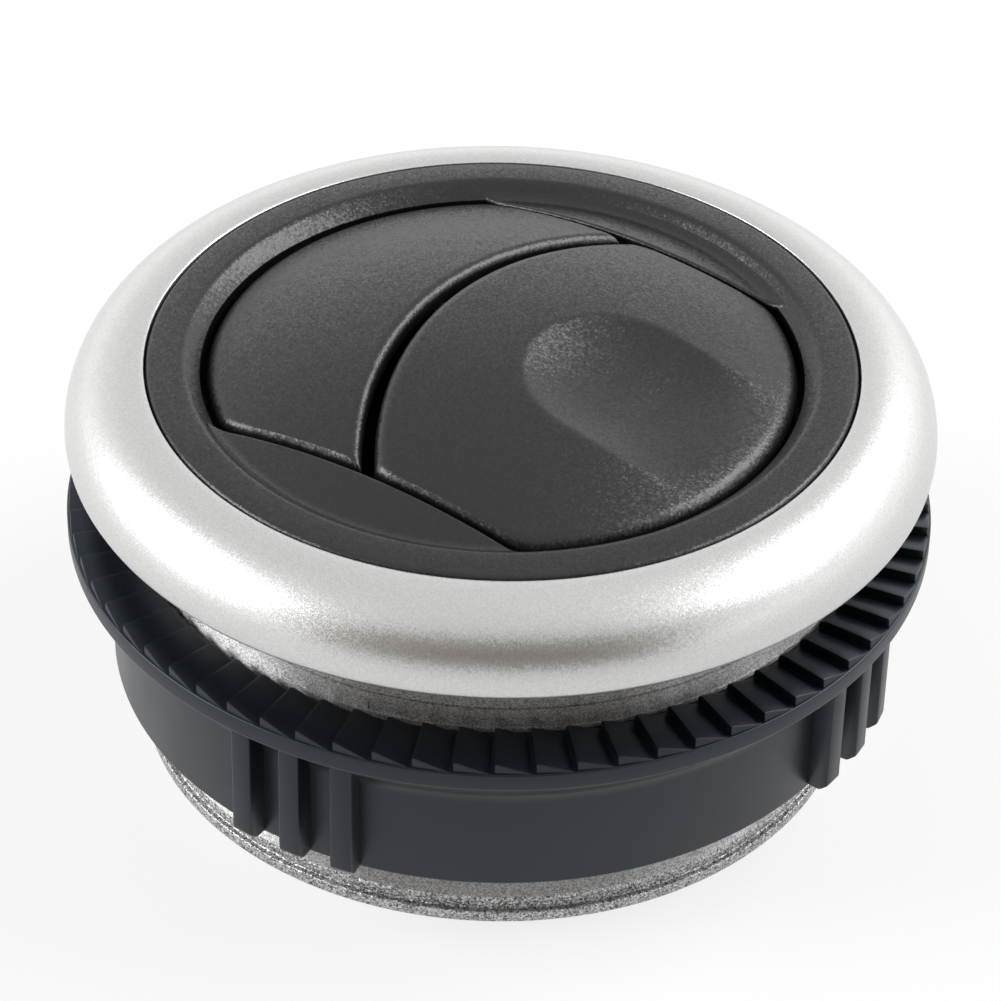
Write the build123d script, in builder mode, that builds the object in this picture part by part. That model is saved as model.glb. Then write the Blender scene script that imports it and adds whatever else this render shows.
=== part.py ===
from build123d import *
from math import acos, degrees, radians, sin, sqrt
import os

# Round air outlet for a panel: a bezel with a threaded tube, a turning face with two linked
# flaps, and a clamp nut. Millimetres. The origin is the centre of the tube's rear end, +Z runs
# out through the face, and the flap hinges run along Y.

# Tube, measured up from its rear end to the panel seat
tube_length = 36.7
tube_radius = 40.2
tube_wall = 2.6
tube_chamfer = 0.8
thread_height = 0.4
spigot_length = 6.5

# Bezel, heights measured up from the panel seat and widths out from the tube
bezel_overhang = 7.0
bezel_belly = 0.8
bezel_height = 9.05
bezel_lip = 0.9
bezel_wall = 2.2
bezel_foot = 0.7
bezel_lip_drop = 0.25

# Turning face, its outer edge measured up from the panel seat and in from the tube
face_inset = 2.1
face_height = 9.0
face_thickness = 2.7
face_edge_round = 0.6
face_rise = 0.3
rim_width = 3.8
cone_round = 1.2
cone_drop = 1.35
lip_depth = 1.4
lip_width = 1.8
barrel_wall = 2.0
barrel_length = 18.6

# Snap that holds the face in the tube: hooks on fingers cut free at both sides
snap_ring_height = 2.0
hook_count = 4
hook_angle = 45
hook_width = 14.0
hook_height = 2.2
hook_reach = 0.9
finger_slot_width = 1.2
finger_slot_height = 9.0

# Cheeks beside the flaps
cheek_width = 5.4
cheek_plate = 2.0
cheek_wall = 2.2
cheek_depth = 5.5

# Flaps on a shallow dome
flap_wall = 2.0
flap_corner = 1.6
flap_round = 1.3
dome_radius = 88.0
dome_edge_drop = 1.1
seam_radius = 42.5
seam_reach = 7.8
seam_gap = 1.3

# Flap hinges
hinge_offset = 10.4
hinge_drop = 3.5
hinge_pin_radius = 1.5
hinge_boss_radius = 2.8
ear_thickness = 2.0

# Thumb scoop in the right flap
scoop_start = 4.0
scoop_half_width = 10.6
scoop_depth = 2.3
scoop_tilt = 4.5
scoop_round = 4.0

# Cranks under the flaps and the link that ties them
crank_out = 5.0
crank_down = 6.0
crank_thickness = 2.2
crank_boss_radius = 2.6
crank_pin_radius = 1.4
crank_head_radius = 1.8
crank_head_height = 0.8
crank_root = 8.0
link_thickness = 2.4
link_width = 4.6

# Clamp nut, set back from the panel seat, its flange as wide as the bezel
nut_setback = 9.25
nut_height = 19.0
nut_wall = 2.35
nut_overhang = 0.2
nut_rim_height = 2.0
nut_rim_round = 1.5
nut_neck_round = 3.0
tooth_count = 70
tooth_height = 1.15
tooth_top = 0.35
tooth_root = 0.3
tooth_ledge = 0.3
tooth_phase = -1.2
rib_groups = 4
rib_group_angle = 4.0
rib_pitch_angle = 7.7
rib_width = 2.55
rib_height = 2.35
rib_chamfer = 1.0

# Clearances
face_gap = 0.5
face_clearance = 0.3
barrel_clearance = 1.3
snap_clearance = 0.2
flap_rim_gap = 0.7
flap_cheek_gap = 0.8
pin_clearance = 0.05
open_pivot_clearance = 0.2
link_side_gap = 0.3
nut_clearance = 0.3

# Levels and radii that follow
bore_radius = tube_radius - tube_wall
spigot_radius = tube_radius - thread_height
bezel_radius = tube_radius + bezel_overhang
face_radius = tube_radius - face_inset
recess_radius = face_radius + face_gap
bezel_crest_radius = recess_radius + bezel_lip
cone_radius = face_radius - rim_width
barrel_radius = bore_radius - barrel_clearance
seat_z = tube_length
belly_z = seat_z + bezel_belly
crest_z = seat_z + bezel_height
core_width = bezel_radius - bezel_crest_radius - bezel_wall
core_height = crest_z - belly_z - bezel_wall
core_angle = degrees(acos((tube_radius - bezel_crest_radius) / core_width))
face_z = seat_z + face_height
face_bottom_z = face_z - face_thickness
ledge_z = face_bottom_z - snap_clearance
barrel_bore = barrel_radius - barrel_wall
barrel_bottom_z = face_bottom_z - barrel_length
hook_radius = barrel_radius + hook_reach
finger_slot_offset = (hook_width + finger_slot_width) / 2
snap_ring_radius = barrel_radius + face_clearance
snap_ring_z = barrel_bottom_z + hook_height + snap_clearance
lip_radius = barrel_bore - lip_width
flap_radius = lip_radius - flap_rim_gap
cheek_chord = flap_radius - cheek_width
lip_z = face_z - cone_drop
dome_centre_z = face_z - dome_edge_drop - sqrt(dome_radius**2 - flap_radius**2)
hinge_z = face_z - hinge_drop
flap_half_length = cheek_chord - flap_cheek_gap
seam_centre = seam_radius - seam_reach
crank_z = hinge_z - crank_down
nut_bore = tube_radius + nut_clearance
nut_skirt_radius = nut_bore + nut_wall
nut_rim_radius = bezel_radius + nut_overhang
nut_rim_z = seat_z - nut_setback
nut_bottom = nut_rim_z - nut_height
nut_cone_z = nut_rim_z - nut_rim_height - (nut_rim_radius - nut_skirt_radius)
rib_radius = nut_skirt_radius + rib_height
tooth_radius = nut_rim_radius - tooth_ledge
tooth_pitch_angle = 360 / tooth_count


def dome_z(x, y, inset=0.0):
    """Height of the flap dome above a plan point, inset into the wall."""
    return dome_centre_z + sqrt((dome_radius - inset) ** 2 - x**2 - y**2)


def side_plane(y):
    """Plane across the hinges at a given Y, with X to the right and Z up."""
    return Plane(origin=(0, y, 0), x_dir=(1, 0, 0), z_dir=(0, -1, 0))


# Bezel and tube in one moulding, cored from behind under the bezel
with BuildPart() as housing:
    with BuildSketch(Plane.XZ):
        with BuildLine():
            Polyline(
                (bore_radius, 0),
                (spigot_radius - tube_chamfer, 0),
                (spigot_radius, tube_chamfer),
                (spigot_radius, spigot_length),
                (tube_radius, spigot_length + tube_radius - spigot_radius),
                (tube_radius, belly_z + core_height * sin(radians(core_angle))),
            )
            EllipticalCenterArc(
                (bezel_crest_radius, belly_z), core_width, core_height, start_angle=0, arc_size=core_angle
            )
            Polyline(
                (bezel_radius - bezel_wall, belly_z),
                (bezel_radius - bezel_wall, seat_z),
                (bezel_radius - bezel_foot, seat_z),
            )
            EllipticalCenterArc(
                (bezel_radius - bezel_foot, belly_z), bezel_foot, bezel_belly, start_angle=270, arc_size=90
            )
            EllipticalCenterArc(
                (bezel_crest_radius, belly_z),
                bezel_radius - bezel_crest_radius,
                crest_z - belly_z,
                start_angle=0,
                arc_size=90,
            )
            EllipticalCenterArc(
                (bezel_crest_radius, crest_z - bezel_lip_drop),
                bezel_lip,
                bezel_lip_drop,
                start_angle=90,
                arc_size=90,
            )
            Polyline(
                (recess_radius, crest_z - bezel_lip_drop),
                (recess_radius, ledge_z),
                (bore_radius, ledge_z),
                (bore_radius, snap_ring_z + snap_ring_height + bore_radius - snap_ring_radius),
                (snap_ring_radius, snap_ring_z + snap_ring_height),
                (snap_ring_radius, snap_ring_z),
                (bore_radius, snap_ring_z),
                (bore_radius, 0),
            )
        make_face()
    revolve(axis=Axis.Z)
housing.part.label = "housing"


# Hollow under each cheek, between its chord wall and the barrel
with BuildPart() as cheek_hollows:
    with BuildSketch(Plane.XY.offset(hinge_z - cheek_depth)):
        Circle(barrel_bore)
        Rectangle(2 * barrel_bore, 2 * (cheek_chord + cheek_wall), mode=Mode.SUBTRACT)
    extrude(amount=face_z - hinge_z + 2 * cheek_depth)
    with Locations((0, 0, dome_centre_z)):
        Sphere(dome_radius - cheek_plate, rotation=(90, 0, 0), mode=Mode.INTERSECT)

# Fixed cheeks, domed like the flaps between them
with BuildPart() as cheeks:
    with BuildSketch(Plane.XY.offset(hinge_z - cheek_depth)):
        Circle(barrel_bore + barrel_wall / 2)
        Rectangle(2 * barrel_radius, 2 * cheek_chord, mode=Mode.SUBTRACT)
    extrude(amount=face_z - hinge_z + 2 * cheek_depth)
    with Locations((0, 0, dome_centre_z)):
        Sphere(dome_radius, rotation=(90, 0, 0), mode=Mode.INTERSECT)
    add(cheek_hollows.part, mode=Mode.SUBTRACT)

# Turning face: rim, cone, barrel with snap hooks, and the cheeks that carry the flap hinges
with BuildPart() as rotor:
    with BuildSketch(Plane.XZ) as rotor_section:
        with BuildLine():
            Polyline(
                (face_radius, face_bottom_z),
                (face_radius, face_z),
                (cone_radius, face_z + face_rise),
                (lip_radius, lip_z),
                (lip_radius, lip_z - lip_depth),
                (barrel_bore, lip_z - lip_depth - (barrel_bore - lip_radius)),
                (barrel_bore, barrel_bottom_z),
                (barrel_radius, barrel_bottom_z),
                (barrel_radius, face_bottom_z),
                close=True,
            )
        make_face()
        fillet(rotor_section.vertices().sort_by(Axis.Y)[-1], cone_round)
        fillet(rotor_section.vertices().group_by(Axis.X)[-1].sort_by(Axis.Y)[-1], face_edge_round)
    revolve(axis=Axis.Z)
    add(cheeks.part)
    with BuildSketch(Plane.XY.offset(barrel_bottom_z)):
        with PolarLocations(barrel_radius, hook_count, hook_angle):
            Rectangle(2 * hook_reach, hook_width)
        Circle(hook_radius, mode=Mode.INTERSECT)
        Circle(barrel_radius - barrel_wall / 2, mode=Mode.SUBTRACT)
    extrude(amount=hook_height)
    with BuildSketch(Plane.XY.offset(barrel_bottom_z)):
        with PolarLocations(barrel_radius, hook_count, hook_angle):
            with Locations((0, finger_slot_offset), (0, -finger_slot_offset)):
                Rectangle(4 * barrel_wall, finger_slot_width)
    extrude(amount=finger_slot_height, mode=Mode.SUBTRACT)
    with BuildSketch(Plane.XZ):
        with Locations((hinge_offset, hinge_z), (-hinge_offset, hinge_z)):
            Circle(hinge_pin_radius + pin_clearance)
    extrude(amount=cheek_chord + cheek_wall, both=True, mode=Mode.SUBTRACT)
rotor.part.label = "rotor"


scoop_floor_z = dome_z(scoop_start, 0) - scoop_depth


def thumb_scoop(grow):
    """Rounded slot that fades out towards the rim, grown by a wall for its underside."""
    floor_plane = Plane(origin=(scoop_start, 0, scoop_floor_z - grow)).rotated((0, scoop_tilt, 0))
    end_radius = scoop_half_width + grow
    with BuildPart() as scoop:
        with BuildSketch(floor_plane):
            with Locations((scoop_half_width + flap_radius, 0)):
                SlotCenterToCenter(2 * flap_radius, 2 * end_radius)
        extrude(amount=2 * end_radius)
        fillet(scoop.faces().sort_by(Axis.Z)[0].edges(), scoop_round + grow)
    return scoop.part


# Wall under the scoop, kept below the dome
with BuildPart() as scoop_backing:
    add(thumb_scoop(flap_wall))
    with Locations((0, 0, dome_centre_z)):
        Sphere(dome_radius - flap_wall / 2, rotation=(90, 0, 0), mode=Mode.INTERSECT)
    with BuildSketch(Plane.XY.offset(hinge_z)):
        Circle(flap_radius - flap_wall)
    extrude(amount=dome_radius, mode=Mode.INTERSECT)

def hinge_works(hinge_x, root_x, root_z):
    """Ears, pins and crank under a flap that turns about hinge_x, the crank rooted in the flap's wall."""
    crank_x = hinge_x + crank_out
    link_side = link_thickness / 2 + link_side_gap
    with BuildPart() as works:
        for side in (1, -1):
            with BuildSketch(side_plane(side * (flap_half_length - ear_thickness / 2))):
                with Locations((hinge_x, hinge_z)):
                    Circle(hinge_boss_radius)
                with Locations((hinge_x, dome_z(hinge_x, flap_half_length, flap_wall))):
                    Rectangle(2 * hinge_boss_radius, flap_wall / 2)
                make_hull()
            extrude(amount=ear_thickness / 2, both=True)
            with BuildSketch(side_plane(side * flap_half_length)):
                with Locations((hinge_x, hinge_z)):
                    Circle(hinge_pin_radius)
            extrude(amount=-side * (flap_cheek_gap + cheek_wall))
        with BuildSketch(side_plane(link_side + crank_thickness / 2)):
            with Locations((crank_x, crank_z)):
                Circle(crank_boss_radius)
            with Locations((root_x, root_z)):
                Rectangle(crank_root, flap_wall / 2)
            make_hull()
        extrude(amount=crank_thickness / 2, both=True)
        with BuildSketch(side_plane(link_side)):
            with Locations((crank_x, crank_z)):
                Circle(crank_pin_radius)
        extrude(amount=2 * link_side)
        with BuildSketch(side_plane(-link_side)):
            with Locations((crank_x, crank_z)):
                Circle(crank_head_radius)
        extrude(amount=crank_head_height)
    return works.part


# Right flap, convex at the seam, with the thumb scoop
with BuildPart() as thumb_flap:
    with BuildSketch(Plane.XY.offset(hinge_z)) as thumb_plan:
        Circle(flap_radius)
        Rectangle(2 * flap_radius, 2 * flap_half_length, mode=Mode.INTERSECT)
        with Locations((seam_centre, 0)):
            Circle(seam_radius, mode=Mode.INTERSECT)
        fillet(thumb_plan.vertices(), flap_corner)
    extrude(amount=dome_radius)
    with Locations((0, 0, dome_centre_z)):
        Sphere(dome_radius, rotation=(90, 0, 0), mode=Mode.INTERSECT)
    fillet(thumb_flap.faces().sort_by(Axis.Z)[-1].edges(), flap_round)
    with Locations((0, 0, dome_centre_z)):
        Sphere(dome_radius - flap_wall, rotation=(90, 0, 0), mode=Mode.SUBTRACT)
    add(scoop_backing.part)
    add(thumb_scoop(0), mode=Mode.SUBTRACT)
    add(hinge_works(hinge_offset, hinge_offset + crank_out, scoop_floor_z - flap_wall))
thumb_flap.part.label = "thumb_flap"

# Left flap, a crescent that follows the seam
with BuildPart() as crescent_flap:
    with BuildSketch(Plane.XY.offset(hinge_z)) as crescent_plan:
        Circle(flap_radius)
        Rectangle(2 * flap_radius, 2 * flap_half_length, mode=Mode.INTERSECT)
        with Locations((seam_centre, 0)):
            Circle(seam_radius + seam_gap, mode=Mode.SUBTRACT)
        fillet(crescent_plan.vertices(), flap_corner)
    extrude(amount=dome_radius)
    with Locations((0, 0, dome_centre_z)):
        Sphere(dome_radius, rotation=(90, 0, 0), mode=Mode.INTERSECT)
    fillet(crescent_flap.faces().sort_by(Axis.Z)[-1].edges(), flap_round)
    with Locations((0, 0, dome_centre_z)):
        Sphere(dome_radius - flap_wall, rotation=(90, 0, 0), mode=Mode.SUBTRACT)
    crescent_root = hinge_offset + crank_root / 2
    add(hinge_works(-hinge_offset, -crescent_root, dome_z(crescent_root + crank_root / 2, 0, flap_wall)))
crescent_flap.part.label = "crescent_flap"

# Link that makes the flaps turn together
with BuildPart() as tie_link:
    with BuildSketch(Plane.XZ):
        with Locations((crank_out, crank_z)):
            SlotCenterToCenter(2 * hinge_offset, link_width)
        with Locations((crank_out + hinge_offset, crank_z)):
            Circle(crank_pin_radius + pin_clearance, mode=Mode.SUBTRACT)
        with Locations((crank_out - hinge_offset, crank_z)):
            Circle(crank_pin_radius + open_pivot_clearance, mode=Mode.SUBTRACT)
    extrude(amount=link_thickness / 2, both=True)
tie_link.part.label = "tie_link"


def tooth_section(radius):
    """Sawtooth across one pitch at a radius: upright face, narrow top, long ramp, flat root."""
    pitch = radius * radians(tooth_pitch_angle)
    with BuildSketch(Plane.YZ.offset(radius)) as section:
        with BuildLine():
            Polyline(
                (0, nut_rim_z - tooth_height),
                (0, nut_rim_z + tooth_height),
                (tooth_top, nut_rim_z + tooth_height),
                (pitch - tooth_root, nut_rim_z),
                (pitch - tooth_root, nut_rim_z - tooth_height),
                close=True,
            )
        make_face()
    return section.sketch


# One radial sawtooth of the nut's flange
with BuildPart() as tooth:
    loft([tooth_section(nut_bore + tooth_root), tooth_section(tooth_radius)])

# One grip rib of the nut, standing from its skirt up into the flange
with BuildPart() as grip_rib:
    with BuildSketch(Plane.XZ):
        with BuildLine():
            Polyline(
                (nut_bore + nut_clearance, nut_bottom),
                (rib_radius - rib_chamfer, nut_bottom),
                (rib_radius, nut_bottom + rib_chamfer),
                (rib_radius, nut_rim_z - nut_rim_height),
                (nut_bore + nut_clearance, nut_rim_z - nut_rim_height),
                close=True,
            )
        make_face()
    extrude(amount=rib_width / 2, both=True)

# Clamp nut with a toothed flange and grip ribs
with BuildPart() as clamp_nut:
    with BuildSketch(Plane.XZ) as nut_section:
        with BuildLine():
            Polyline(
                (nut_bore, nut_bottom),
                (nut_skirt_radius, nut_bottom),
                (nut_skirt_radius, nut_cone_z),
                (nut_rim_radius, nut_rim_z - nut_rim_height),
                (nut_rim_radius, nut_rim_z),
                (nut_bore, nut_rim_z),
                close=True,
            )
        make_face()
        neck_corner = nut_section.vertices().sort_by_distance((nut_skirt_radius, nut_cone_z))[0]
        fillet(neck_corner, radius=nut_neck_round)
        rim_corner = nut_section.vertices().sort_by_distance((nut_rim_radius, nut_rim_z - nut_rim_height))[0]
        fillet(rim_corner, radius=nut_rim_round)
    revolve(axis=Axis.Z)
    with PolarLocations(0, tooth_count, tooth_phase):
        add(tooth.part)
    for step in (-1, 0, 1):
        with PolarLocations(0, rib_groups, rib_group_angle + step * rib_pitch_angle):
            add(grip_rib.part)
clamp_nut.part.label = "clamp_nut"

os.makedirs("parts", exist_ok=True)
for piece in (housing, rotor, thumb_flap, crescent_flap, tie_link, clamp_nut):
    export_step(piece.part, f"parts/{piece.part.label}.step")
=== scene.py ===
"""Looks of the round air outlet: painted bezel and tube, grained face and flaps, toothed clamp nut."""
from math import acos, asin, cos, degrees, hypot, pi, radians, sin, sqrt, tan

import bmesh
import bpy
from mathutils import Matrix, Vector
from mathutils.geometry import convex_hull_2d


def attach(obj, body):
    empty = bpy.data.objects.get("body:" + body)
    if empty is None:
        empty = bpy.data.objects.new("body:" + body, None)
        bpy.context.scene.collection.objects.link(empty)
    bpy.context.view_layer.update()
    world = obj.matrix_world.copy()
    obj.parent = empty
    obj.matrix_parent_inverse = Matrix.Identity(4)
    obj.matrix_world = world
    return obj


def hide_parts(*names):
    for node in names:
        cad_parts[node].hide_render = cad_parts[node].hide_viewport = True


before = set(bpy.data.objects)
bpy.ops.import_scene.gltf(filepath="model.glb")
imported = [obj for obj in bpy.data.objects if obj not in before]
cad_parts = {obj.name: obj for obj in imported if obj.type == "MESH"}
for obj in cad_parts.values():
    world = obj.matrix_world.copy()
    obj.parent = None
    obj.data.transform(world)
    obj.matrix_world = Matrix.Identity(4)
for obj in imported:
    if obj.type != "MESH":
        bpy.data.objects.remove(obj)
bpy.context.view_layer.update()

# Lengths below are in millimetres, heights from the tube's rear end, and angles in degrees
MM = 0.001
LATHE_SEGMENTS = 288
ROUND_STEPS = 4
SHARP_ANGLE = 32

# Small rounding of moulded edges
edge_break = 0.2

# Tube and its fine thread
bore_radius = 37.6
root_radius = 39.55
end_radius = 39.8
end_height = 1.6
end_round = 0.5
end_groove = 0.7
end_groove_height = 1.2
end_groove_flare = 0.4
mouth_round = 0.3
thread_pitch = 2.55
thread_start = 9.0
thread_end = 30.8
thread_end_angle = 112
thread_base = 0.6
thread_crest = 0.25
thread_top_radius = 40.15
parting_angle = -77.2
parting_width = 0.22
parting_height = 0.1

# Bezel
seat_height = 36.7
bezel_radius = 47.2
bezel_belly = 38.1
bezel_top = 45.75
bezel_crest_radius = 39.5
bezel_wall = 2.2
bezel_foot = 1.4
bezel_lip_drop = 0.25
recess_radius = 38.5
recess_floor = 42.8
snap_ring_radius = 36.6
snap_ring_bottom = 26.8
snap_ring_top = 28.8

# Turning face
face_radius = 38.3
face_height = 45.7
face_bottom = 43.0
face_edge_round = 0.6
cone_radius = 34.3
cone_top = 46.0
cone_round = 1.2
cone_foot_radius = 32.5
cone_foot = 44.35
cone_lip = 1.4
barrel_radius = 36.3
barrel_bore = 34.3
barrel_bottom = 24.4
finger_top = 33.4
finger_width = 14.0
finger_slot = 1.2
finger_count = 4
finger_angle = 45
hook_radius = 37.2
hook_top = 26.6

# Cheeks beside the flaps
cheek_chord = 26.3
cheek_plate = 2.0
cheek_wall = 2.2
cheek_wall_setback = 0.05
cheek_foot = 36.7
cheek_edge_round = 0.5
cheek_reach = 33.6
cheek_blend = 1.4

# Flaps on a shallow dome
dome_radius = 88.0
dome_centre = -37.456
flap_radius = 31.8
flap_half_length = 25.7
flap_wall = 2.0
flap_corner = 1.8
crescent_tip_corner = 0.6
flap_round = 1.3
flap_side_steepness = 2.2
flap_point_spacing = 0.4
thumb_flap_middle = (12.0, 0.0)
crescent_flap_middle = (-25.0, 0.0)
seam_radius = 42.5
seam_centre = 34.7
seam_gap = 1.3

# Thumb scoop
scoop_start = 4.1
scoop_half_width = 10.4
scoop_depth = 2.0
scoop_fullness = 2.2
scoop_fade_start = 18.0
scoop_fade_end = 31.0
scoop_edge_softness = 0.25

# Hinge works under the flaps
hinge_offset = 10.4
hinge_height = 42.2
hinge_pin_radius = 1.5
hinge_boss_radius = 2.8
ear_thickness = 2.0
ear_root_drop = 2.4
crank_out = 5.0
crank_height = 36.2
crank_thickness = 2.2
crank_boss_radius = 2.6
crank_pin_radius = 1.4
crank_head_radius = 1.8
crank_head_height = 0.8
crank_root = 8.0
link_side = 1.5

# Clamp nut
nut_bore = 40.5
nut_skirt_radius = 42.85
nut_rim_radius = 47.4
nut_bottom = 8.45
nut_bore_round = 0.3
nut_foot_round = 0.25
nut_rim = 27.45
nut_rim_height = 2.0
nut_rim_round = 0.4
nut_neck_round = 3.0
tooth_count = 70
tooth_height = 1.15
tooth_top = 0.35
tooth_root = 0.3
tooth_ledge = 0.3
tooth_inner_round = 0.7
# Tooth's inner end: shares of the way along its rounding, with the share of the height that is reached there
tooth_inner_shares = ((0.0, 0.35), (0.2, 0.7), (1.0, 1.0))
tooth_phase = -1.2
tooth_bevel = 0.16
rib_groups = 4
ribs_in_group = 3
rib_group_angle = 4.0
rib_pitch_angle = 7.7
rib_width = 2.55
rib_radius = 45.2
rib_chamfer = 1.0
rib_bevel = 0.3

# Photograph's viewpoint
view_azimuth = 32.0
view_elevation = 37.43
view_roll = 1.39
view_distance = 462.9
view_target = (0.1, 0.1, 26.2)
view_lens = 151.05
sensor_width = 36.0

# Studio, with azimuths counted from the camera's, and strengths of 1 for plain white
floor_half = 3000
box_distance = 650
left_box_azimuth, left_box_elevation = -84, 30
left_box_size = (380, 260)
left_box_power = 2.8
right_box_azimuth, right_box_elevation = 106, 44
right_box_size = (540, 220)
right_box_power = 2.9
card_distance = 600
card_half_angle = 42
card_low, card_high = 5, 38
# Black disc on the floor inside the tube: painted shade standing in for the shadow inside the duct
shade_pad_height = 0.05
shade_pad_clearance = 0.2
shade_pad_steps = 96
surround_light = 0.3
surround_mirrored = 0.84
horizon_glow = 0.85
horizon_fall = 3.0
surround_seen = 1.0
paper_light = 0.0
paper_mirrored = 0.8
paper_seen = 0.76


def srgb(code):
    """Linear RGBA of an sRGB hex colour."""
    channels = [int(code[i:i + 2], 16) / 255 for i in (1, 3, 5)]
    return [c / 12.92 if c <= 0.04045 else ((c + 0.055) / 1.055) ** 2.4 for c in channels] + [1.0]


def add_node(tree, kind, inputs=None, **settings):
    """Adds a node with its settings, its inputs set to values or linked to other nodes' sockets."""
    node = tree.nodes.new(kind)
    for name, value in settings.items():
        setattr(node, name, value)
    for name, value in (inputs or {}).items():
        if isinstance(value, bpy.types.NodeSocket):
            tree.links.new(value, node.inputs[name])
        else:
            node.inputs[name].default_value = value
    return node


def new_material(name):
    """Empty node material with its tree and Object coordinates."""
    material = bpy.data.materials.new(name)
    material.use_nodes = True
    tree = material.node_tree
    tree.nodes.clear()
    place = add_node(tree, "ShaderNodeTexCoord").outputs["Object"]
    return material, tree, place


def finish_material(tree, shader):
    """Links a shader to the material's output."""
    add_node(tree, "ShaderNodeOutputMaterial", {"Surface": shader.outputs["BSDF"]})


def facets(tree, place, size, tilt):
    """Surface normal tipped at random over small flat cells, by up to a tilt along each axis."""
    cells = add_node(tree, "ShaderNodeTexVoronoi", {"Vector": place, "Scale": 1 / (size * MM)})
    lean = add_node(tree, "ShaderNodeVectorMath", {
        0: cells.outputs["Color"], 1: [2 * t for t in tilt], 2: [-t for t in tilt],
    }, operation="MULTIPLY_ADD")
    normal = add_node(tree, "ShaderNodeNewGeometry").outputs["Normal"]
    tipped = add_node(tree, "ShaderNodeVectorMath", {0: normal, 1: lean.outputs["Vector"]}, operation="ADD")
    unit = add_node(tree, "ShaderNodeVectorMath", {0: tipped.outputs["Vector"]}, operation="NORMALIZE")
    return unit.outputs["Vector"]


def silver_paint(name, colour, thin_colour, flake, tilt, roughness, turned):
    """Silver metallic paint sprayed on moulded ABS: a satin sheen of small flakes, speckled where the coat
    is thin and drawn out where turned lines show. Real flakes are finer, and are drawn coarser to show."""
    flakes_per_speck, quarter_turn = 1.3, 0.25
    material, tree, place = new_material(name)
    specks = add_node(tree, "ShaderNodeTexVoronoi", {
        "Vector": place, "Scale": 1 / (flakes_per_speck * flake * MM),
    })
    chance = add_node(tree, "ShaderNodeSeparateXYZ", {0: specks.outputs["Color"]})
    coat = add_node(tree, "ShaderNodeMix", {
        0: chance.outputs["X"], 6: srgb(thin_colour), 7: srgb(colour),
    }, data_type="RGBA")
    around = add_node(tree, "ShaderNodeTangent", direction_type="RADIAL", axis="Z")
    shader = add_node(tree, "ShaderNodeBsdfPrincipled", {
        "Base Color": coat.outputs[2],
        "Metallic": 0.85,
        "Roughness": roughness,
        "Anisotropic": turned,
        "Anisotropic Rotation": quarter_turn,
        "Tangent": around.outputs["Tangent"],
        "Normal": facets(tree, place, flake, tilt),
    })
    finish_material(tree, shader)
    return material


def grained_abs():
    """Charcoal ABS from a spark-eroded mould: matte, with a grain whose small facets glint.
    The real grain is finer, and is drawn coarser to show."""
    grain_width, grain_tilt = 0.22, 0.09
    material, tree, place = new_material("charcoal_grained_abs")
    grain = add_node(
        tree, "ShaderNodeTexNoise", {"Vector": place, "Scale": 1 / (grain_width * MM), "Detail": 2.0}
    )
    rough = add_node(
        tree, "ShaderNodeMapRange", {"Value": grain.outputs["Fac"], "To Min": 0.28, "To Max": 0.42}
    )
    shader = add_node(tree, "ShaderNodeBsdfPrincipled", {
        "Base Color": srgb("#101112"),
        "Roughness": rough.outputs["Result"],
        "IOR": 1.54,
        "Normal": facets(tree, place, grain_width, (grain_tilt, grain_tilt, grain_tilt)),
    })
    finish_material(tree, shader)
    return material


def satin_black(name, colour, sheen):
    """Smooth satin black moulding: soft broad sheen of a given tint and faint flow clouds."""
    cloud_width = 6.0
    material, tree, place = new_material(name)
    cloud = add_node(
        tree, "ShaderNodeTexNoise", {"Vector": place, "Scale": 1 / (cloud_width * MM), "Detail": 4.0}
    )
    rough = add_node(
        tree, "ShaderNodeMapRange", {"Value": cloud.outputs["Fac"], "To Min": 0.34, "To Max": 0.44}
    )
    shader = add_node(tree, "ShaderNodeBsdfPrincipled", {
        "Base Color": srgb(colour),
        "Roughness": rough.outputs["Result"],
        "IOR": 1.49,
        "Specular Tint": srgb(sheen),
    })
    finish_material(tree, shader)
    return material


def new_piece(name, points, faces, materials, face_materials=None):
    """Piece from points in millimetres, smooth except over its sharp edges."""
    mesh = bpy.data.meshes.new(name)
    mesh.from_pydata([Vector(point) * MM for point in points], [], faces)
    for material in materials:
        mesh.materials.append(material)
    if face_materials:
        mesh.polygons.foreach_set("material_index", face_materials)
    smooth(mesh)
    piece = bpy.data.objects.new(name, mesh)
    bpy.context.collection.objects.link(piece)
    return piece


def smooth(mesh):
    """Smooth shading with the sharp edges kept."""
    mesh.shade_smooth()
    mesh.set_sharp_from_angle(angle=radians(SHARP_ANGLE))


def rounded(corners):
    """Section points of a closed outline of (radius, height, round) corners."""
    points = []
    for before, here, after in zip(corners[-1:] + corners[:-1], corners, corners[1:] + corners[:1]):
        corner, size = Vector(here[:2]), here[2]
        back = (Vector(before[:2]) - corner).normalized()
        ahead = (Vector(after[:2]) - corner).normalized()
        half = back.angle(ahead) / 2
        if size == 0:
            points.append(corner)
            continue
        centre = corner + (back + ahead).normalized() * size / sin(half)
        start = corner + back * size / tan(half) - centre
        end = corner + ahead * size / tan(half) - centre
        sweep = -start.angle_signed(end) / ROUND_STEPS
        points += [centre + Matrix.Rotation(sweep * i, 2) @ start for i in range(ROUND_STEPS + 1)]
    return points


def ellipse_arc(centre, width, height, start, end, steps):
    """Points along an elliptical arc in a section, both ends included."""
    angles = [radians(start + (end - start) * i / steps) for i in range(steps + 1)]
    return [Vector((centre[0] + width * cos(a), centre[1] + height * sin(a))) for a in angles]


def band(near, far, count):
    """Faces between two closed rings of points, by the index of each ring's first point."""
    return [(near + i, far + i, far + (i + 1) % count, near + (i + 1) % count) for i in range(count)]


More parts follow.
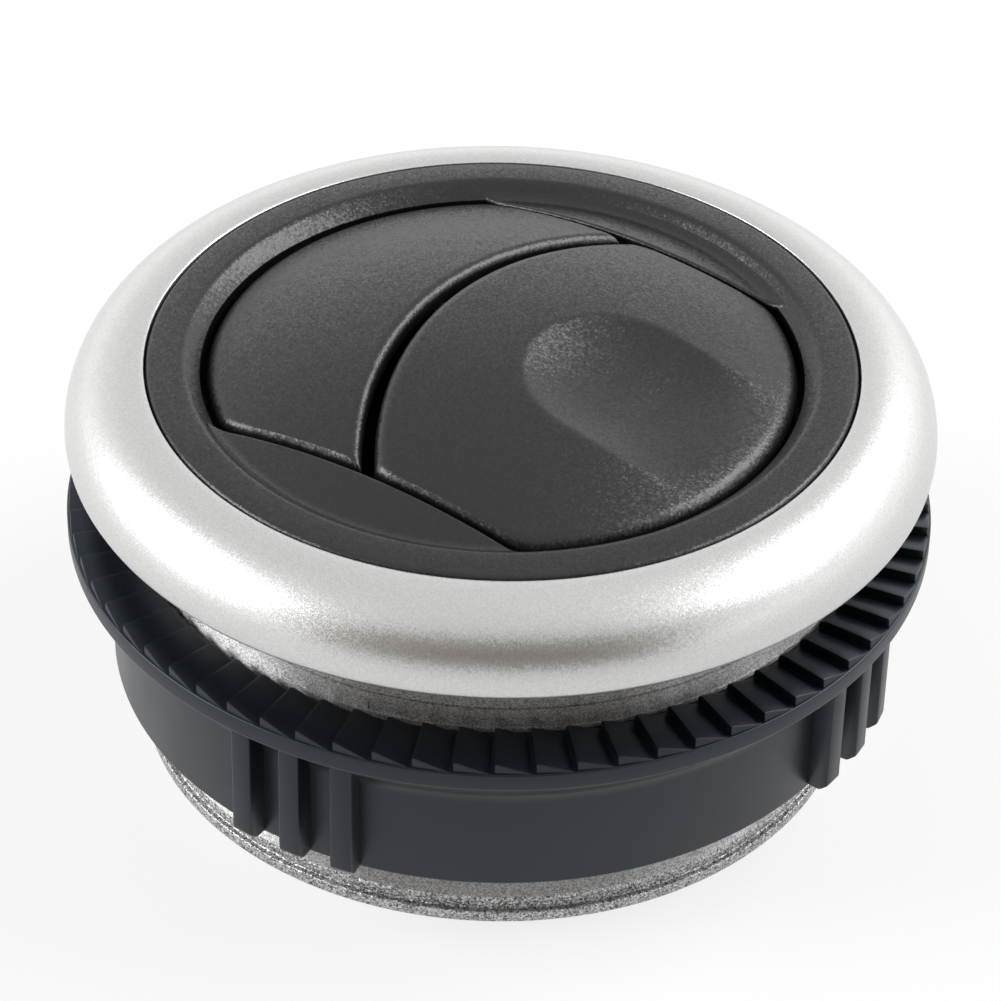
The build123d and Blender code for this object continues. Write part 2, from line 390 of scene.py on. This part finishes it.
def lathe(name, runs):
    """Ring turned about the tube's axis from a closed section, in runs of points with their material."""
    section = [point for points, _ in runs for point in points]
    materials = [material for _, material in runs]
    edge_materials = [index for index, (points, _) in enumerate(runs) for _ in points]
    count = len(section)
    points, faces = [], []
    for turn in range(LATHE_SEGMENTS):
        angle = 2 * pi * turn / LATHE_SEGMENTS
        points += [(r * cos(angle), r * sin(angle), z) for r, z in section]
        faces += band(turn * count, (turn + 1) % LATHE_SEGMENTS * count, count)
    return new_piece(name, points, faces, materials, edge_materials * LATHE_SEGMENTS)


def lathe_part(section, start, end):
    """Points and faces of a closed section turned only from one angle to another, capped at both ends."""
    steps = max(2, round((end - start) * LATHE_SEGMENTS / 360))
    count = len(section)
    points, faces = [], []
    for step in range(steps + 1):
        angle = radians(start + (end - start) * step / steps)
        points += [(r * cos(angle), r * sin(angle), z) for r, z in section]
    for step in range(steps):
        faces += band(step * count, (step + 1) * count, count)
    faces += [tuple(range(count)), tuple(steps * count + i for i in reversed(range(count)))]
    return points, faces


def joined(name, parts, material):
    """One piece from several lists of points and faces."""
    points, faces = [], []
    for part_points, part_faces in parts:
        faces += [tuple(index + len(points) for index in face) for face in part_faces]
        points += part_points
    return new_piece(name, points, faces, [material])


def prism(outline, low, high):
    """Points and faces of an outline of (x, z) points, counter-clockwise seen from the front, run along Y."""
    count = len(outline)
    points = [(x, y, z) for y in (low, high) for x, z in outline]
    return points, band(0, count, count) + [
        tuple(range(count)), tuple(i + count for i in reversed(range(count))),
    ]


def round_outline(x, z, radius, steps=24):
    """Circle of (x, z) points."""
    turns = [2 * pi * i / steps for i in range(steps)]
    return [(x + radius * cos(turn), z + radius * sin(turn)) for turn in turns]


def hull_outline(points):
    """Convex outline round (x, z) points."""
    return [points[i] for i in convex_hull_2d(points)]


def soft_min(a, b, width):
    """Smaller of two values, rounded over where they are about equal."""
    overlap = max(width - abs(a - b), 0) / width
    return min(a, b) - overlap**2 * width / 4


def slope_of(distance, x, y):
    """Gradient of a plan distance."""
    step = 0.001
    across = distance(x + step, y) - distance(x - step, y)
    along = distance(x, y + step) - distance(x, y - step)
    return Vector((across, along)) / (2 * step)


def walk_outline(distance, start, spacing):
    """Points round the outline where a plan distance is zero, counter-clockwise, with inward normals."""
    closing_share, settling_steps = 0.8, 3
    points, normals = [], []
    point = Vector(start)
    while len(points) < 3 or (point - points[0]).length > closing_share * spacing:
        for _ in range(settling_steps):
            slope = slope_of(distance, *point)
            point = point - slope * distance(*point) / slope.length_squared
        inward = slope_of(distance, *point).normalized()
        points.append(point)
        normals.append(inward)
        point = point + Vector((inward.y, -inward.x)) * spacing
    return points, normals


def inset_steps(outline, normals, middle, edge_round):
    """Steps in from an outline, shorter at tight corners so that no sector about the middle folds over."""
    kept_share, shrink = 0.3, 0.9
    steps = [normal * edge_round for normal in normals]
    from_middle = [point - middle for point in outline]
    folded = [0]
    while folded:
        inset = [point + step for point, step in zip(from_middle, steps)]
        folded = [
            i for i in range(-1, len(outline) - 1)
            if inset[i].cross(inset[i + 1]) < kept_share * from_middle[i].cross(from_middle[i + 1])
        ]
        for i in folded:
            steps[i], steps[i + 1] = shrink * steps[i], shrink * steps[i + 1]
    return steps


def moulded_shell(name, distance, start, centre, top_at, wall, edge_round, material):
    """Thin moulding over a plan outline, with rings of points that close in on a centre above and below."""
    inner_rings, under_rings = 60, 12
    edge_shares = (0, 0.04, 0.15, 0.35, 0.62, 1)
    outline, normals = walk_outline(distance, start, flap_point_spacing)
    middle = Vector(centre)
    steps = inset_steps(outline, normals, middle, edge_round)
    inset = [point + step for point, step in zip(outline, steps)]
    under = [[middle.lerp(p, ring / under_rings) for p in outline] for ring in range(1, under_rings + 1)]
    edge = [[point + step * share for point, step in zip(outline, steps)] for share in edge_shares]
    inner = [[p.lerp(middle, ring / inner_rings) for p in inset] for ring in range(1, inner_rings)]
    rings = [[(p.x, p.y, top_at(p.x, p.y) - wall) for p in ring] for ring in under]
    for ring in edge + inner:
        rings.append([(p.x, p.y, top_at(p.x, p.y) - rounding(distance(p.x, p.y), edge_round)) for p in ring])
    count = len(outline)
    points = [point for ring in rings for point in ring]
    faces = []
    for ring in range(len(rings) - 1):
        here, above = ring * count, (ring + 1) * count
        faces += [
            (here + i, here + (i + 1) % count, above + (i + 1) % count, above + i) for i in range(count)
        ]
    low_tip, high_tip, last = len(points), len(points) + 1, (len(rings) - 1) * count
    points += [(middle.x, middle.y, top_at(*middle) - wall), (middle.x, middle.y, top_at(*middle))]
    faces += [(low_tip, (i + 1) % count, i) for i in range(count)]
    faces += [(last + i, last + (i + 1) % count, high_tip) for i in range(count)]
    return new_piece(name, points, faces, [material])


def rounding(distance, radius):
    """Drop of a rounded edge at a distance in from it."""
    reach = max(radius - max(distance, 0), 0)
    return radius - sqrt(radius**2 - reach**2)


def dome(x, y):
    """Height of the dome that flaps and cheeks share."""
    return dome_centre + sqrt(dome_radius**2 - x**2 - y**2)


def scoop(x, y):
    """Depth of the thumb scoop: a hollow with a round left end that fades out to the right."""
    end = scoop_start + scoop_half_width
    inside = scoop_half_width - hypot(min(x - end, 0), y)
    if inside <= 0:
        return 0.0
    inside = inside**2 / (inside + scoop_edge_softness)
    hollow = 1 - (1 - inside / scoop_half_width) ** scoop_fullness
    faded = min(max((x - scoop_fade_start) / (scoop_fade_end - scoop_fade_start), 0), 1)
    return scoop_depth * hollow * (1 - faded**2 * (3 - 2 * faded))


def thumb_distance(x, y):
    """Distance in from the thumb flap's outline."""
    rim = flap_radius - hypot(x, y)
    side = flap_side_steepness * (flap_half_length - abs(y))
    seam = seam_radius - hypot(x - seam_centre, y)
    return soft_min(soft_min(rim, side, flap_corner), seam, flap_corner)


def crescent_distance(x, y):
    """Distance in from the crescent flap's outline."""
    rim = flap_radius - hypot(x, y)
    side = flap_side_steepness * (flap_half_length - abs(y))
    seam = hypot(x - seam_centre, y) - seam_radius - seam_gap
    return soft_min(soft_min(rim, side, flap_corner), seam, crescent_tip_corner)


def make_thumb_flap(plastic):
    """Right flap with the thumb scoop pressed in."""
    return moulded_shell(
        "thumb_flap_shell", thumb_distance, (flap_radius, 0), thumb_flap_middle,
        lambda x, y: dome(x, y) - scoop(x, y), flap_wall, flap_round, plastic,
    )


def make_crescent_flap(plastic):
    """Left flap, a crescent that follows the seam."""
    return moulded_shell(
        "crescent_flap_shell", crescent_distance, (-flap_radius, 0), crescent_flap_middle,
        dome, flap_wall, flap_round, plastic,
    )


def make_hinge_works(name, hinge_x, root_x, root_height, plastic):
    """Ears, hinge pins and crank under a flap."""
    crank_x = hinge_x + crank_out
    ear_root = dome(hinge_x, flap_half_length) - ear_root_drop
    ear = hull_outline(round_outline(hinge_x, hinge_height, hinge_boss_radius) + [
        (hinge_x - hinge_boss_radius, ear_root), (hinge_x + hinge_boss_radius, ear_root),
    ])
    crank = hull_outline(round_outline(crank_x, crank_height, crank_boss_radius) + [
        (root_x - crank_root / 2, root_height), (root_x + crank_root / 2, root_height),
    ])
    hinge_pin = round_outline(hinge_x, hinge_height, hinge_pin_radius)
    crank_pin = round_outline(crank_x, crank_height, crank_pin_radius)
    crank_head = round_outline(crank_x, crank_height, crank_head_radius)
    pin_end = cheek_chord + cheek_wall
    ear_start = flap_half_length - ear_thickness
    parts = [
        prism(ear, ear_start, flap_half_length),
        prism(ear, -flap_half_length, -ear_start),
        prism(hinge_pin, ear_start, pin_end),
        prism(hinge_pin, -pin_end, -ear_start),
        prism(crank, link_side, link_side + crank_thickness),
        prism(crank_pin, -link_side, link_side + crank_thickness),
        prism(crank_head, -link_side - crank_head_height, -link_side),
    ]
    return joined(name, parts, plastic)


def make_face_ring(plastic):
    """Rim, cone and barrel of the turning face."""
    return lathe("face_ring", [(rounded([
        (barrel_bore, finger_top, 0),
        (barrel_radius, finger_top, 0),
        (barrel_radius, face_bottom, 0),
        (face_radius, face_bottom, edge_break),
        (face_radius, face_height, face_edge_round),
        (cone_radius, cone_top, cone_round),
        (cone_foot_radius, cone_foot, edge_break),
        (cone_foot_radius, cone_foot - cone_lip, edge_break),
        (barrel_bore, cone_foot - cone_lip - (barrel_bore - cone_foot_radius), 0),
    ]), plastic)])


def make_fingers(plastic):
    """Lower barrel, slit beside the four fingers that carry the snap hooks."""
    wall = [
        (barrel_bore, barrel_bottom), (barrel_radius, barrel_bottom),
        (barrel_radius, finger_top), (barrel_bore, finger_top),
    ]
    hooked = [
        (barrel_bore, barrel_bottom), (hook_radius, barrel_bottom), (hook_radius, hook_top),
        (barrel_radius, hook_top), (barrel_radius, finger_top), (barrel_bore, finger_top),
    ]
    half = degrees(asin(finger_width / 2 / barrel_radius))
    slit_end = degrees(asin((finger_width / 2 + finger_slot) / barrel_radius))
    parts = []
    for index in range(finger_count):
        middle = finger_angle + index * 360 / finger_count
        parts.append(lathe_part(hooked, middle - half, middle + half))
        parts.append(lathe_part(wall, middle + slit_end, middle + 360 / finger_count - slit_end))
    return joined("barrel_fingers", parts, plastic)


def cone(x, y):
    """Height of the face's cone, carried on inwards and outwards."""
    rise = (cone_top - cone_foot) / (cone_radius - cone_foot_radius)
    return cone_foot + (hypot(x, y) - cone_foot_radius) * rise


def make_cheek(name, side, plastic):
    """Fixed cheek beside the flaps, domed like them and blended into the cone."""
    def distance(x, y):
        return soft_min(cheek_reach - hypot(x, y), side * y - cheek_chord, cheek_edge_round)

    def top(x, y):
        return -soft_min(-dome(x, y), -cone(x, y), cheek_blend)

    return moulded_shell(
        name, distance, (0, side * cheek_chord), (0, side * (cheek_chord + cheek_reach) / 2),
        top, cheek_plate, cheek_edge_round, plastic,
    )


def make_chord_wall(name, side, plastic):
    """Wall under a cheek's straight edge that the flaps' pins turn in."""
    reach = sqrt(barrel_bore**2 - cheek_chord**2)
    steps = 16
    top = [reach * (1 - 2 * i / steps) for i in range(steps + 1)]
    outline = [(-reach, cheek_foot), (reach, cheek_foot)]
    outline += [(x, min(dome(x, cheek_chord), cone_foot) - cheek_plate / 2) for x in top]
    near, far = cheek_chord + cheek_wall_setback, cheek_chord + cheek_wall
    low, high = (near, far) if side > 0 else (-far, -near)
    return joined(name, [prism(outline, low, high)], plastic)


def node_tree(name, inputs):
    """Geometry node tree with named inputs, returned with its input node."""
    tree = bpy.data.node_groups.new(name, "GeometryNodeTree")
    tree.interface.new_socket("Geometry", in_out="INPUT", socket_type="NodeSocketGeometry")
    for label, kind in inputs.items():
        tree.interface.new_socket(label, in_out="INPUT", socket_type=kind)
    tree.interface.new_socket("Geometry", in_out="OUTPUT", socket_type="NodeSocketGeometry")
    return tree, add_node(tree, "NodeGroupInput").outputs


def end_tree(tree, geometry, material):
    """Ends a node tree with real meshes in their material."""
    real = add_node(tree, "GeometryNodeRealizeInstances", {"Geometry": geometry}).outputs["Geometry"]
    painted = add_node(tree, "GeometryNodeSetMaterial", {"Geometry": real, "Material": material})
    add_node(tree, "NodeGroupOutput", {"Geometry": painted.outputs["Geometry"]})


def apply_tree(piece, tree, values):
    """Turns the piece into the plain mesh that a node tree makes of it."""
    modifier = piece.modifiers.new(tree.name, "NODES")
    modifier.node_group = tree
    for item in tree.interface.items_tree:
        if item.in_out == "INPUT" and item.name in values:
            modifier[item.identifier] = values[item.name]
    evaluated = piece.evaluated_get(bpy.context.evaluated_depsgraph_get())
    mesh = bpy.data.meshes.new_from_object(evaluated)
    piece.modifiers.clear()
    piece.data = mesh
    smooth(mesh)
    return piece


def polar_copies_tree():
    """Copies of a piece round the tube's axis, in even groups with a pitch of their own."""
    tree, given = node_tree("polar_copies", {
        "Groups": "NodeSocketInt",
        "Copies": "NodeSocketInt",
        "Pitch": "NodeSocketFloat",
        "Start": "NodeSocketFloat",
        "Material": "NodeSocketMaterial",
    })
    total = add_node(tree, "ShaderNodeMath", {0: given["Groups"], 1: given["Copies"]}, operation="MULTIPLY")
    points = add_node(tree, "GeometryNodeMeshLine", {"Count": total.outputs[0], "Offset": (0, 0, 0)})
    index = add_node(tree, "GeometryNodeInputIndex").outputs["Index"]
    share = add_node(tree, "ShaderNodeMath", {0: index, 1: given["Copies"]}, operation="DIVIDE")
    group = add_node(tree, "ShaderNodeMath", {0: share.outputs[0]}, operation="FLOOR")
    group_pitch = add_node(tree, "ShaderNodeMath", {0: 2 * pi, 1: given["Groups"]}, operation="DIVIDE")
    group_turn = add_node(
        tree, "ShaderNodeMath",
        {0: group.outputs[0], 1: group_pitch.outputs[0], 2: given["Start"]}, operation="MULTIPLY_ADD",
    )
    step = add_node(tree, "ShaderNodeMath", {0: index, 1: given["Copies"]}, operation="MODULO")
    turn = add_node(
        tree, "ShaderNodeMath",
        {0: step.outputs[0], 1: given["Pitch"], 2: group_turn.outputs[0]}, operation="MULTIPLY_ADD",
    )
    rotation = add_node(tree, "ShaderNodeCombineXYZ", {"Z": turn.outputs[0]})
    copies = add_node(tree, "GeometryNodeInstanceOnPoints", {
        "Points": points.outputs["Mesh"],
        "Instance": given["Geometry"],
        "Rotation": rotation.outputs["Vector"],
    })
    end_tree(tree, copies.outputs["Instances"], given["Material"])
    return tree


def thread_tree():
    """Thread ridge: a trapezoid swept along a right-hand helix round the tube."""
    tree, given = node_tree("thread_ridge", {
        "Radius": "NodeSocketFloat",
        "Turns": "NodeSocketFloat",
        "Height": "NodeSocketFloat",
        "Base": "NodeSocketFloat",
        "Crest": "NodeSocketFloat",
        "Depth": "NodeSocketFloat",
        "Material": "NodeSocketMaterial",
    })
    helix = add_node(tree, "GeometryNodeCurveSpiral", {
        "Resolution": LATHE_SEGMENTS, "Rotations": given["Turns"], "Start Radius": given["Radius"],
        "End Radius": given["Radius"], "Height": given["Height"],
    })
    upright = add_node(tree, "GeometryNodeSetCurveNormal", {"Curve": helix.outputs["Curve"]}, mode="Z_UP")
    section = add_node(tree, "GeometryNodeCurvePrimitiveQuadrilateral", {
        "Bottom Width": given["Base"], "Top Width": given["Crest"], "Height": given["Depth"], "Offset": 0.0,
    }, mode="TRAPEZOID")
    ridge = add_node(tree, "GeometryNodeCurveToMesh", {
        "Curve": upright.outputs["Curve"], "Profile Curve": section.outputs["Curve"], "Fill Caps": True,
    })
    end_tree(tree, ridge.outputs["Mesh"], given["Material"])
    return tree


def make_housing(bezel_paint, tube_paint, end_paint, bare_plastic):
    """Bezel and tube as one turned moulding, cored behind the bezel and bare inside."""
    core_steps, foot_steps, roll_steps, lip_steps = 8, 5, 32, 10
    core_width = bezel_radius - bezel_crest_radius - bezel_wall
    core_height = bezel_top - bezel_belly - bezel_wall
    core_angle = degrees(acos((root_radius - bezel_crest_radius) / core_width))
    groove_radius = end_radius - end_groove
    groove_top = end_height + end_groove_height
    end = rounded([
        (bore_radius, 0, mouth_round),
        (end_radius, 0, end_round),
        (end_radius, end_height, edge_break),
        (groove_radius, end_height, edge_break),
        (groove_radius, groove_top, edge_break),
        (end_radius, groove_top + end_groove_flare * end_groove, edge_break),
        (root_radius, groove_top + end_groove, 0),
        (bore_radius, groove_top + end_groove, 0),
    ])[:-2]
    tube = [Vector((root_radius, groove_top + end_groove))]
    crest = (bezel_crest_radius, bezel_belly)
    core = ellipse_arc(crest, core_width, core_height, core_angle, 0, core_steps)
    foot = [Vector((bezel_radius - bezel_wall, seat_height))]
    foot += ellipse_arc(
        (bezel_radius - bezel_foot, bezel_belly), bezel_foot, bezel_belly - seat_height, -90, 0, foot_steps
    )
    roll = ellipse_arc(
        crest, bezel_radius - bezel_crest_radius, bezel_top - bezel_belly, 0, 90, roll_steps
    )[1:]
    lip = ellipse_arc(
        (bezel_crest_radius, bezel_top - bezel_lip_drop), bezel_crest_radius - recess_radius,
        bezel_lip_drop, 90, 180, lip_steps,
    )[1:]
    inside = [
        Vector((recess_radius, recess_floor)),
        Vector((bore_radius, recess_floor)),
        Vector((bore_radius, snap_ring_top + bore_radius - snap_ring_radius)),
        Vector((snap_ring_radius, snap_ring_top)),
        Vector((snap_ring_radius, snap_ring_bottom)),
        Vector((bore_radius, snap_ring_bottom)),
    ]
    return lathe("painted_housing", [
        (end, end_paint),
        (tube + core, tube_paint),
        (foot + roll + lip, bezel_paint),
        (inside, bare_plastic),
    ])


def make_thread(paint):
    """Fine thread on the tube, too shallow for the solids."""
    ridge = new_piece("tube_thread", [], [], [paint])
    height = thread_end - thread_start
    turns = height / thread_pitch
    apply_tree(ridge, thread_tree(), {
        "Radius": root_radius * MM,
        "Turns": turns,
        "Height": height * MM,
        "Base": thread_base * MM,
        "Crest": thread_crest * MM,
        "Depth": 2 * (thread_top_radius - root_radius) * MM,
        "Material": paint,
    })
    ridge.data.transform(
        Matrix.Translation((0, 0, thread_start * MM))
        @ Matrix.Rotation(radians(thread_end_angle) - 2 * pi * turns, 4, "Z")
    )
    return ridge


def make_parting_lines(paint):
    """Thin lines that the two halves of the mould left along the tube."""
    low, high = end_height + end_groove_height + end_groove, seat_height
    outline = [
        (root_radius - parting_height, low), (root_radius + parting_height, low),
        (root_radius + parting_height, high), (root_radius - parting_height, high),
    ]
    line = joined("parting_lines", [prism(outline, -parting_width / 2, parting_width / 2)], paint)
    return apply_tree(line, polar_copies, {
        "Groups": 2, "Copies": 1, "Pitch": 0.0, "Start": radians(parting_angle), "Material": paint,
    })


def bevelled(piece, width, is_soft):
    """Rounds the edges of a piece that a test on their ends picks, both ends in millimetres."""
    edges_mesh = bmesh.new()
    edges_mesh.from_mesh(piece.data)
    edges = [edge for edge in edges_mesh.edges if is_soft(*(v.co / MM for v in edge.verts))]
    bmesh.ops.bevel(edges_mesh, geom=edges, offset=width * MM, segments=2, profile=0.5, affect="EDGES")
    edges_mesh.to_mesh(piece.data)
    edges_mesh.free()
    return piece


def make_nut(plastic):
    """Nut body, its ring of sawteeth and its grip ribs."""
    rim_low = nut_rim - nut_rim_height
    cone_low = rim_low - (nut_rim_radius - nut_skirt_radius)
    body = lathe("nut_body", [(rounded([
        (nut_bore, nut_bottom, nut_bore_round),
        (nut_skirt_radius, nut_bottom, nut_foot_round),
        (nut_skirt_radius, cone_low, nut_neck_round),
        (nut_rim_radius, rim_low, nut_rim_round),
        (nut_rim_radius, nut_rim, edge_break),
        (nut_bore, nut_rim, edge_break),
    ]), plastic)])
    teeth = apply_tree(make_tooth(plastic), polar_copies, {
        "Groups": tooth_count, "Copies": 1, "Pitch": 0.0, "Start": radians(tooth_phase), "Material": plastic,
    })
    ribs = apply_tree(make_rib(plastic, rim_low), polar_copies, {
        "Groups": rib_groups, "Copies": ribs_in_group, "Pitch": radians(rib_pitch_angle),
        "Start": radians(rib_group_angle - rib_pitch_angle), "Material": plastic,
    })
    return body, teeth, ribs


def make_tooth(plastic):
    """One radial sawtooth: upright face, narrow top, long ramp, its outer top edges rounded."""
    section_points, near_outer, top_share = 5, 0.1, 0.9
    inner, outer = nut_bore + tooth_root, nut_rim_radius - tooth_ledge
    stations = [(inner + along * tooth_inner_round, share) for along, share in tooth_inner_shares]
    stations.append((outer, 1.0))
    points, faces = [], []
    for radius, share in stations:
        pitch = 2 * pi * radius / tooth_count
        points += [
            (radius, 0, nut_rim - tooth_height),
            (radius, 0, nut_rim + share * tooth_height),
            (radius, tooth_top, nut_rim + share * tooth_height),
            (radius, pitch - tooth_root, nut_rim),
            (radius, pitch - tooth_root, nut_rim - tooth_height),
        ]
    last = len(points) - section_points
    for low in range(0, last, section_points):
        high = low + section_points
        for i in range(section_points):
            ahead = (i + 1) % section_points
            faces.append((low + i, low + ahead, high + ahead, high + i))
    faces += [tuple(reversed(range(section_points))), tuple(range(last, last + section_points))]

    def is_outer_top(a, b):
        return min(a.x, b.x) > outer - near_outer and max(a.z, b.z) > nut_rim + top_share * tooth_height

    return bevelled(new_piece("nut_teeth", points, faces, [plastic]), tooth_bevel, is_outer_top)


def make_rib(plastic, rim_low):
    """One grip rib, chamfered at its foot and standing up into the flange."""
    near_edge = 0.1
    root = nut_skirt_radius - (nut_skirt_radius - nut_bore) / 2
    side = [
        (root, nut_bottom),
        (rib_radius - rib_chamfer, nut_bottom),
        (rib_radius, nut_bottom + rib_chamfer),
        (rib_radius, rim_low),
        (root, rim_low),
    ]
    piece = joined("nut_ribs", [prism(side, -rib_width / 2, rib_width / 2)], plastic)

    def is_proud(a, b):
        return min(a.x, b.x) > root + near_edge or a.z + b.z < 2 * nut_bottom + near_edge

    return bevelled(piece, rib_bevel, is_proud)


def dress(node, material):
    """Gives a CAD node its material."""
    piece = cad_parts[node]
    piece.data.materials.clear()
    piece.data.materials.append(material)


def studio_place(azimuth, elevation, distance):
    """Place at an azimuth counted from the camera's, with its elevation and distance."""
    turn, rise = radians(view_azimuth + azimuth), radians(elevation)
    return Vector((sin(turn) * cos(rise), -cos(turn) * cos(rise), sin(rise))) * distance


def place_camera():
    """Camera at the photograph's viewpoint."""
    toward = studio_place(0, view_elevation, 1)
    lens = bpy.data.cameras.new("photo_camera")
    lens.lens = view_lens
    lens.sensor_width = sensor_width
    camera = bpy.data.objects.new("photo_camera", lens)
    turn = toward.to_track_quat("Z", "Y").to_matrix().to_4x4() @ Matrix.Rotation(radians(view_roll), 4, "Z")
    camera.matrix_world = Matrix.Translation((Vector(view_target) + toward * view_distance) * MM) @ turn
    bpy.context.collection.objects.link(camera)
    bpy.context.scene.camera = camera


def area_light(name, place, size, power):
    """Soft box aimed at the outlet, place and size in millimetres."""
    light = bpy.data.lights.new(name, "AREA")
    light.shape = "RECTANGLE"
    light.size, light.size_y = size[0] * MM, size[1] * MM
    light.energy = power
    lamp = bpy.data.objects.new(name, light)
    at = Vector(place)
    aim = (at - Vector((0, 0, seat_height))).to_track_quat("Z", "Y").to_matrix().to_4x4()
    lamp.matrix_world = Matrix.Translation(at * MM) @ aim
    bpy.context.collection.objects.link(lamp)


def seen_strength(tree, light, mirrored, seen):
    """Strength by who looks: light on the scene, reflections, and the camera."""
    rays = add_node(tree, "ShaderNodeLightPath").outputs
    glossy = add_node(tree, "ShaderNodeMix", {0: rays["Is Glossy Ray"], 2: light, 3: mirrored})
    camera = add_node(tree, "ShaderNodeMix", {0: rays["Is Camera Ray"], 2: glossy.outputs[0], 3: seen})
    return camera.outputs[0]


def dull_sheet(name, colour, roughness):
    """Paper, card or painted-shade sheet of one colour that shows no sheen, with its shader's inputs."""
    material = bpy.data.materials.new(name)
    material.use_nodes = True
    shader = material.node_tree.nodes["Principled BSDF"].inputs
    shader["Base Color"].default_value = srgb(colour)
    shader["Roughness"].default_value = roughness
    shader["Specular IOR Level"].default_value = 0.0
    return material, shader


def set_surround():
    """White surround, brightest at the horizon in what the paint mirrors."""
    world = bpy.data.worlds.new("studio")
    bpy.context.scene.world = world
    world.use_nodes = True
    sky = world.node_tree
    sky.nodes.clear()
    place = add_node(sky, "ShaderNodeTexCoord").outputs["Generated"]
    rise = add_node(sky, "ShaderNodeSeparateXYZ", {0: place}).outputs["Z"]
    fall = add_node(sky, "ShaderNodeMath", {0: 1.0, 1: rise}, operation="SUBTRACT", use_clamp=True)
    haze = add_node(sky, "ShaderNodeMath", {0: fall.outputs[0], 1: horizon_fall}, operation="POWER")
    glow = add_node(
        sky, "ShaderNodeMath",
        {0: haze.outputs[0], 1: horizon_glow, 2: surround_mirrored}, operation="MULTIPLY_ADD",
    )
    surround = add_node(sky, "ShaderNodeBackground", {
        "Color": (1, 1, 1, 1), "Strength": seen_strength(sky, surround_light, glow.outputs[0], surround_seen),
    })
    add_node(sky, "ShaderNodeOutputWorld", {"Surface": surround.outputs["Background"]})


def make_floor():
    """White paper floor that keeps the outlet's shadow."""
    paper, sheet = dull_sheet("white_paper", "#8c8c8c", 0.9)
    glow = seen_strength(paper.node_tree, paper_light, paper_mirrored, paper_seen)
    sheet["Emission Color"].default_value = (1, 1, 1, 1)
    paper.node_tree.links.new(glow, sheet["Emission Strength"])
    corners = [(x * floor_half, y * floor_half, 0) for x, y in ((-1, -1), (1, -1), (1, 1), (-1, 1))]
    return new_piece("floor", corners, [(0, 1, 2, 3)], [paper])


def make_card():
    """Brown card behind the camera, which the bezel's front mirrors."""
    dull_material, _ = dull_sheet("brown_felt", "#8c7f71", 1.0)
    corners = [
        studio_place(azimuth, elevation, card_distance) for azimuth, elevation in (
            (-card_half_angle, card_low), (card_half_angle, card_low),
            (card_half_angle, card_high), (-card_half_angle, card_high),
        )
    ]
    card = new_piece("dark_card", corners, [(0, 3, 2, 1)], [dull_material])
    card.visible_camera = False
    return card


def make_painted_shade_pad():
    """Black disc on the floor inside the tube: painted shade that stands in for the shadow in the duct and
    keeps the flaps' seams dark.
    """
    dull_material, _ = dull_sheet("painted_duct_shade", "#0c0c0c", 1.0)
    outline = round_outline(0, 0, bore_radius - shade_pad_clearance, shade_pad_steps)
    disc = [(x, y, shade_pad_height) for x, y in outline]
    return new_piece("painted_duct_shade_pad", disc, [tuple(range(len(disc)))], [dull_material])


def set_studio():
    """Surround, floor, card and the black disc of painted shade inside the tube, with a soft box at the left
    and one at the right.
    """
    set_surround()
    floor = make_floor()
    card = make_card()
    pad = make_painted_shade_pad()
    left_place = studio_place(left_box_azimuth, left_box_elevation, box_distance)
    right_place = studio_place(right_box_azimuth, right_box_elevation, box_distance)
    area_light("left_box", left_place, left_box_size, left_box_power)
    area_light("right_box", right_place, right_box_size, right_box_power)


# Full coat on the bezel: even, pale and satin
bezel_paint = silver_paint(
    "silver_paint_on_bezel", "#d8d8d7", "#cacac9",
    flake=0.11, tilt=(0.06, 0.06, 0.06), roughness=0.34, turned=0.0,
)
# Thinner coat on the tube, whose mould was turned: finely speckled, its sheen drawn out along the axis
tube_paint = silver_paint(
    "silver_overspray_on_tube", "#e0e0e0", "#8a8988",
    flake=0.11, tilt=(0.06, 0.06, 0.15), roughness=0.48, turned=1.0,
)
# Overspray on the tube's end: black plastic shows between scattered bright flakes
end_paint = silver_paint(
    "silver_overspray_on_end", "#dcdcdc", "#484848",
    flake=0.13, tilt=(0.3, 0.3, 0.3), roughness=0.42, turned=0.0,
)
# Unpainted ABS inside the tube: plain black with a soft sheen
bare_plastic = satin_black("bare_black_abs", "#161617", "#ffffff")
face_plastic = grained_abs()
# Moulded polypropylene of the nut and the link: a bluish black with a cool sheen
nut_plastic = satin_black("satin_black_polypropylene", "#0c131a", "#e6f1ff")
polar_copies = polar_copies_tree()

housing = make_housing(bezel_paint, tube_paint, end_paint, bare_plastic)
thread = make_thread(tube_paint)
parting_lines = make_parting_lines(tube_paint)
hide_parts("housing")
for piece in (housing, thread, parting_lines):
    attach(piece, "housing")

nut_pieces = make_nut(nut_plastic)
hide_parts("clamp_nut")
for piece in nut_pieces:
    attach(piece, "clamp_nut")

face_ring = make_face_ring(face_plastic)
rotor_pieces = [face_ring, make_fingers(face_plastic)]
for side, label in ((1, "back"), (-1, "front")):
    rotor_pieces.append(make_cheek(f"{label}_cheek", side, face_plastic))
    rotor_pieces.append(make_chord_wall(f"{label}_cheek_wall", side, face_plastic))
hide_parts("rotor")
for piece in rotor_pieces:
    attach(piece, "rotor")

thumb_shell = make_thumb_flap(face_plastic)
thumb_root = hinge_offset + crank_out
thumb_root_height = dome(thumb_root, 0) - scoop(thumb_root, 0) - flap_wall / 2
thumb_works = make_hinge_works(
    "thumb_flap_works", hinge_offset, thumb_root, thumb_root_height, face_plastic
)
crescent_shell = make_crescent_flap(face_plastic)
crescent_root = -hinge_offset - crank_root / 2
crescent_root_height = dome(crescent_root - crank_root / 2, 0) - flap_wall / 2
crescent_works = make_hinge_works(
    "crescent_flap_works", -hinge_offset, crescent_root, crescent_root_height, face_plastic
)
for body, shell, works in (
    ("thumb_flap", thumb_shell, thumb_works),
    ("crescent_flap", crescent_shell, crescent_works),
):
    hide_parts(body)
    for piece in (shell, works):
        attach(piece, body)
dress("tie_link", nut_plastic)

place_camera()
set_studio()
bpy.context.scene.view_settings.view_transform = "Standard"
